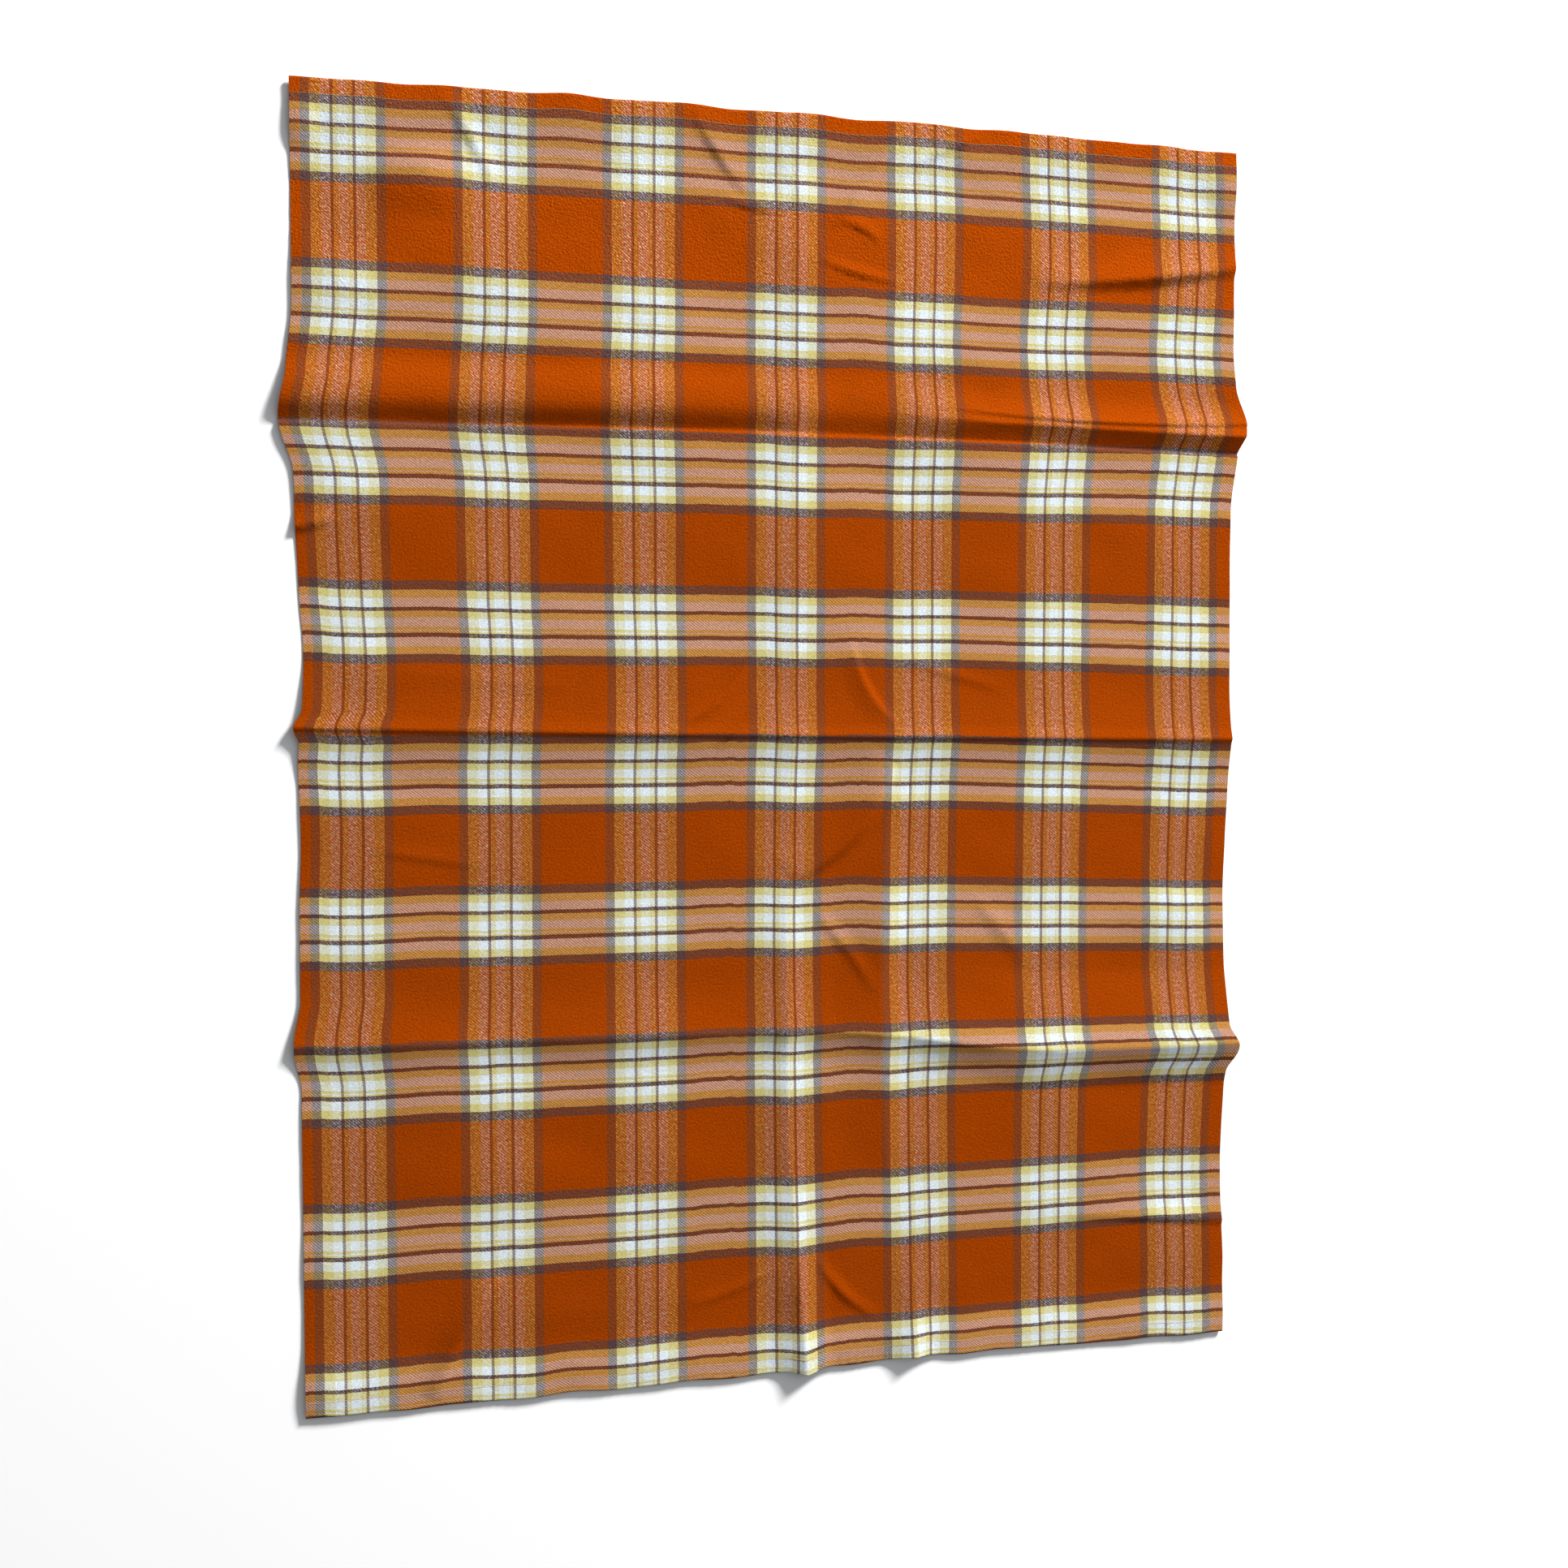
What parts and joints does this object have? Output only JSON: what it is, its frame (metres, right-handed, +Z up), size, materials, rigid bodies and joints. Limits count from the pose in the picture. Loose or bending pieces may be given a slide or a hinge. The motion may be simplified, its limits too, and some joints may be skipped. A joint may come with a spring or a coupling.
{
  "type": "camp blanket",
  "caption": "Plaid flannel camp blanket lying spread out, with clean woven side edges, a stitched hem at each end and pressed fold creases.",
  "frame": {"origin": "The middle of the ground that the spread blanket covers, at ground height", "axes": "+X across the blanket from its left selvedge to its right one, +Y along it from the bottom hem to the top hem, +Z up off the ground"},
  "size_m": [1.3, 1.7, 0.022],
  "materials": {
    "plaid_flannel": "matt brushed cotton twill in an orange, brown, mustard and white plaid",
    "hem_thread": "pale yellow spun polyester sewing thread"
  },
  "bodies": {
    "upper_middle": {"upper_middle_quarter": "plaid_flannel"},
    "top": {"top_quarter": "plaid_flannel", "top_hem_needle_thread": "hem_thread", "top_hem_bobbin_thread": "hem_thread"},
    "lower_middle": {"lower_middle_quarter": "plaid_flannel"},
    "bottom": {"bottom_quarter": "plaid_flannel", "bottom_hem_needle_thread": "hem_thread", "bottom_hem_bobbin_thread": "hem_thread"}
  },
  "joints": [
    {"name": "top_fold", "type": "hinge", "parent": "upper_middle", "child": "top", "pos_m": [0, 0.43, 0.012], "axis": [1, 0, 0], "range_deg": [0, 180]},
    {"name": "middle_fold", "type": "hinge", "parent": "upper_middle", "child": "lower_middle", "pos_m": [0, 0.006, 0.031], "axis": [-1, 0, 0], "range_deg": [0, 180]},
    {"name": "bottom_fold", "type": "hinge", "parent": "lower_middle", "child": "bottom", "pos_m": [0, -0.424, 0.017], "axis": [-1, 0, 0], "range_deg": [0, 180]}
  ]
}
